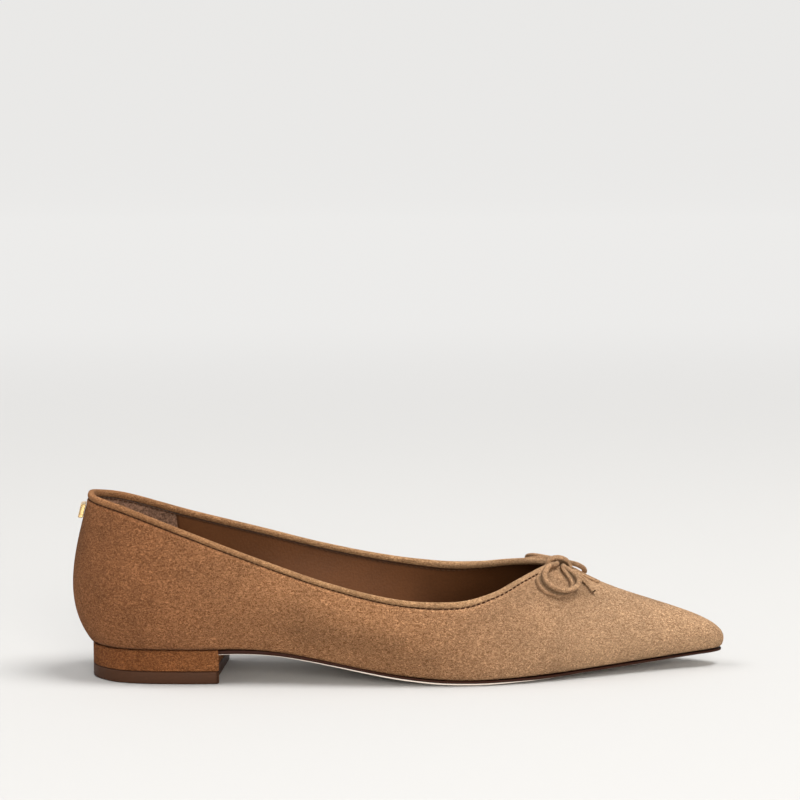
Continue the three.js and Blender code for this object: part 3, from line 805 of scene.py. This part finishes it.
class SHOE_OT_bow(bpy.types.Operator):
    """Bow of a folded suede strap: two loops, two tails and the knot"""

    bl_idname = "shoe.make_bow"
    bl_label = "Bow"

    def over_vamp(self, vamp, forward, inward, lift):
        """Point over the vamp, found straight down from a place in plan."""
        start = Vector((top_line(0.5)[0] + forward * MM, inward * MM, 0.2))
        spot, normal = vamp.ray_cast(start, Vector((0, 0, -1)))[:2]
        return np.array(spot + normal * lift * MM)

    def strap(self, vamp, path, lean, radius, steps, both_ends, open_end):
        """Folded strap with two rounded edges, the upper one set off by the lean (mm).

        One end or both ends start under the knot, and the other end may be left open.
        """
        lower = np.array([self.over_vamp(vamp, *row[:3]) for row in path])
        share = np.array([row[3] for row in path])
        lean = np.array(lean) * MM
        # The strap's place and radius as it runs; an open end turns back into itself.
        ends = np.array([(0.0, 0.0, 0.0), (0.008, 0.0, 0.7), (0.02, 0.006, 1.0), (0.98, 0.994, 1.0),
                         (0.992, 1.0, 0.7), (1.0, 1.0, 0.0)])
        if open_end:
            ends[3:] = ((0.93, 1.0, 1.1), (0.95, 1.0, 0.75), (1.0, 0.86, 0.0))

        # Section of the fold: which edge, and the place round it; a thin web joins the two edges.
        n = 20
        round_edge = np.radians(np.linspace(-128, 128, n))
        edge = np.concatenate([np.ones(n), [0.5], np.zeros(n), [0.5]])
        up_part = np.concatenate([np.cos(round_edge), [0], -np.cos(round_edge), [0]])
        side_part = np.concatenate([np.sin(round_edge), [0], -np.sin(round_edge), [0]])
        web = np.array([0.0] * n + [1.0] + [0.0] * n + [-1.0])
        # Weights of painted shade at the web between the two edges
        fold = np.array([0.35] + [0.0] * (n - 2) + [0.35, 0.8, 0.35] + [0.0] * (n - 2) + [0.35, 0.8])

        def place(u, v):
            i = np.round(v * len(edge)).astype(int) % len(edge)
            at = np.interp(u, ends[:, 0], ends[:, 1])
            size = np.interp(u, ends[:, 0], ends[:, 2]) * radius * MM
            stand = along_path(share[:, None], at)
            along = unit(along_path(lower, at + 0.01) - along_path(lower, at - 0.01))
            side = unit(np.cross(along, lean))
            up = np.cross(side, along)
            thin = 1 - 0.8 * np.clip(stand[:, 0] * 1.5, 0, 1)
            base = along_path(lower, at) + lean * stand * edge[i][:, None]
            return (base + up * (up_part[i] * size)[:, None]
                    + side * ((side_part[i] + web[i] * thin) * size)[:, None])

        def facts(u, v):
            i = np.round(v * len(edge)).astype(int) % len(edge)
            stand = along_path(share[:, None], np.interp(u, ends[:, 0], ends[:, 1]))[:, 0]
            from_knot = np.minimum(u, 1 - u) if both_ends else u
            # Painted shade: the open end, the web where the strap stands up, and the ends under the knot
            under_knot = 0.75 * np.clip(1.4 - from_knot * steps / 18, 0, 1)
            return {"seam": edge[i] * np.clip(up_part[i] * 1.5, 0, 1),
                    "hollow": np.maximum.reduce([
                        (u > 0.95) * float(open_end), fold[i] * np.clip(stand * 1.5, 0, 1), under_knot])}

        return grid(steps, len(edge), place, facts)

    def execute(self, context):
        finish = suede("suede_bow", coarse=0.75)
        form = grid(160, 80, lambda u, v: skin(0.3 + 0.4 * u, 0.4 + 0.599 * v))
        vamp = BVHTree.FromBMesh(form)
        form.free()
        for node, path, lean, radius, steps, both_ends, open_end in (
                ("bow_loop_outer", NEAR_LOOP, (2.5, -0.5, 2.0), 1.05, 220, True, False),
                ("bow_loop_inner", FAR_LOOP, (1.5, 0.5, 1.7), 0.98, 220, True, False),
                ("bow_tail_outer", NEAR_TAIL, (0.5, 0.15, 0.35), 0.66, 90, False, True),
                ("bow_tail_inner", FAR_TAIL, (0.4, 1.5, 0.1), 0.55, 90, False, False)):
            bm = self.strap(vamp, path, lean, radius, steps, both_ends, open_end)
            finish_piece(bm, node + "_suede", [node], [finish])

        def place(u, v):
            size = np.interp(u, [0, 0.03, 0.97, 1], [0, 1, 1, 0])
            at = np.clip((u - 0.02) / 0.96, 0, 1)
            line, ahead, behind = (along_path(KNOT, at + k) for k in (0, 0.01, -0.01))
            along = unit(ahead - behind)
            c, d = np.cos(2 * math.pi * v), np.sin(2 * math.pi * v)
            core = np.where(d < 0, 2.6 * (1 - np.abs(c)) ** 0.5, 0) * np.sin(math.pi * at)
            out = np.sign(d) * np.abs(d) ** 0.75 * (1.1 + core) * size
            across = np.sign(c) * np.abs(c) ** 0.6 * np.where(d < -0.3, 1.5, 2.3) * size
            gather = 1 + 0.03 * np.sin(2 * math.pi * 11 * u)
            x = line[:, 0] - along[:, 1] * out * gather
            z = line[:, 1] + along[:, 0] * out * gather
            return np.stack([top_line(0.5)[0] + x * MM, across * MM, z * MM], -1)

        def facts(u, v):
            # Painted shade on the knot's underside
            under = np.clip(-np.sin(2 * math.pi * v) * 2.5, 0, 1) * np.clip(np.sin(math.pi * u) * 2, 0, 1)
            return {"seam": 0.7 * np.abs(np.cos(2 * math.pi * v)), "hollow": 0.7 * under}

        finish_piece(grid(110, 40, place, facts), "bow_knot_suede", ["bow_knot"], [finish])
        return {"FINISHED"}


class SHOE_OT_plate(bpy.types.Operator):
    """Plain metal plate at the back of the heel"""

    bl_idname = "shoe.make_plate"
    bl_label = "Heel plate"

    def execute(self, context):
        def place(u, v):
            s = (u * 2 - 1) * BAR_HALF
            t = share_below(s, BAR_DOWN + BAR_HEIGHT * (1 - v))
            return off_skin(s, t, np.full(len(u), BAR_LIFT))

        bm = grid(40, 24, place)
        bmesh.ops.recalc_face_normals(bm, faces=bm.faces)
        bm.normal_update()
        middle = bm.faces[len(bm.faces) // 2]
        if middle.normal.x > 0:
            bmesh.ops.reverse_faces(bm, faces=bm.faces)
        made = bmesh.ops.extrude_face_region(bm, geom=bm.faces[:])
        for vert in [g for g in made["geom"] if isinstance(g, bmesh.types.BMVert)]:
            vert.co.x -= BAR_DEPTH
        bmesh.ops.recalc_face_normals(bm, faces=bm.faces)
        round_edges(bm, BAR_ROUNDING, 4)
        finish_piece(bm, "heel_plate_gold", ["heel_plate"], [
            metal("gold_metal", settings().gold)])
        return {"FINISHED"}


class SHOE_OT_stage(bpy.types.Operator):
    """Pale floor, soft light and the camera"""

    bl_idname = "shoe.make_stage"
    bl_label = "Stage"

    def light(self, name, place, target, size, power, tone):
        data = bpy.data.lights.new(name, "AREA")
        data.shape = "DISK"
        data.size = size
        data.energy = power
        data.color = tone
        lamp = bpy.data.objects.new(name, data)
        bpy.context.scene.collection.objects.link(lamp)
        lamp.location = place
        lamp.rotation_euler = (Vector(target) - Vector(place)).to_track_quat("-Z", "Y").to_euler()

    def execute(self, context):
        scene = context.scene
        scene.view_settings.view_transform = "Standard"
        # Floor that turns up softly into a wall far behind the shoe, in metres
        wide, behind, flat, turning, radius = 9.0, 2.5, 3.5, 1.5, 1.0
        bm = bmesh.new()
        bmesh.ops.create_grid(bm, x_segments=2, y_segments=60, size=0.5)
        for vert in bm.verts:
            run = (vert.co.y + 0.5) * wide - behind
            bend = min(max((run - flat) / turning, 0), 1) * math.pi / 2
            out = min(run, flat) + radius * math.sin(bend)
            rise = radius - radius * math.cos(bend) + max(run - flat - turning, 0)
            vert.co = (vert.co.x * wide, out, rise)
        mesh = bpy.data.meshes.new("studio_floor")
        for face in bm.faces:
            face.smooth = True
        bm.to_mesh(mesh)
        bm.free()
        mesh.materials.append(paper("studio_paper", (0.48, 0.48, 0.477), (0.815, 0.808, 0.795)))
        floor = bpy.data.objects.new("studio_floor", mesh)
        scene.collection.objects.link(floor)

        world = bpy.data.worlds.new("studio")
        scene.world = world
        world.use_nodes = True
        world.node_tree.nodes["Background"].inputs["Color"].default_value = (1.0, 0.99, 0.98, 1.0)
        world.node_tree.nodes["Background"].inputs["Strength"].default_value = 0.44
        self.light("key", (1.1, -0.35, 2.8), (0.08, 0, 0), 1.5, 92.0, (1.0, 0.985, 0.96))
        self.light("top", (-1.6, 0.2, 2.6), (0.0, 0, 0), 2.4, 46.0, (1.0, 0.99, 0.98))
        self.light("front", (0.3, -2.1, 0.7), (0.08, 0, 0.02), 1.1, 32.0, (1.0, 0.94, 0.87))

        # Camera: away from a point on the floor under the shoe's middle, aimed above it
        look = Vector((math.sin(TURN) * math.cos(TILT), math.cos(TURN) * math.cos(TILT), -math.sin(TILT)))
        right = Vector((math.cos(TURN), -math.sin(TURN), 0))
        up = right.cross(look)
        focal = AWAY / PIXEL
        base = Vector((FLOOR_POINT - CENTRE, 0, 0))
        data = bpy.data.cameras.new("camera")
        data.sensor_width = 36.0
        data.lens = data.sensor_width * focal / PHOTO_SIDE
        camera = bpy.data.objects.new("camera", data)
        scene.collection.objects.link(camera)
        place = base - look * AWAY + up * (FLOOR_ROW - PHOTO_SIDE / 2) / focal * AWAY
        camera.matrix_world = Matrix((
            (right.x, up.x, -look.x, place.x),
            (right.y, up.y, -look.y, place.y),
            (right.z, up.z, -look.z, place.z),
            (0, 0, 0, 1)))
        scene.camera = camera
        return {"FINISHED"}


OPERATORS = (SHOE_OT_stage, SHOE_OT_upper, SHOE_OT_binding, SHOE_OT_stitches, SHOE_OT_insole, SHOE_OT_sole,
             SHOE_OT_heel, SHOE_OT_bow, SHOE_OT_plate)


class SHOE_PT_panel(bpy.types.Panel):
    """Sidebar panel with the shoe's pieces and settings"""

    bl_idname = "SHOE_PT_panel"
    bl_label = "Pointed toe flat"
    bl_space_type = "VIEW_3D"
    bl_region_type = "UI"
    bl_category = "Shoe"

    def draw(self, context):
        for operator in OPERATORS:
            self.layout.operator(operator.bl_idname)
        for name in ShoeSettings.__annotations__:
            self.layout.prop(context.scene.shoe_settings, name)


def register():
    for cls in (ShoeSettings, *OPERATORS, SHOE_PT_panel):
        bpy.utils.register_class(cls)
    bpy.types.Scene.shoe_settings = bpy.props.PointerProperty(type=ShoeSettings)


def unregister():
    del bpy.types.Scene.shoe_settings
    for cls in reversed((ShoeSettings, *OPERATORS, SHOE_PT_panel)):
        bpy.utils.unregister_class(cls)


def main():
    register()
    for operator in OPERATORS:
        group, name = operator.bl_idname.split(".")
        getattr(getattr(bpy.ops, group), name)()


if __name__ == "__main__":
    main()
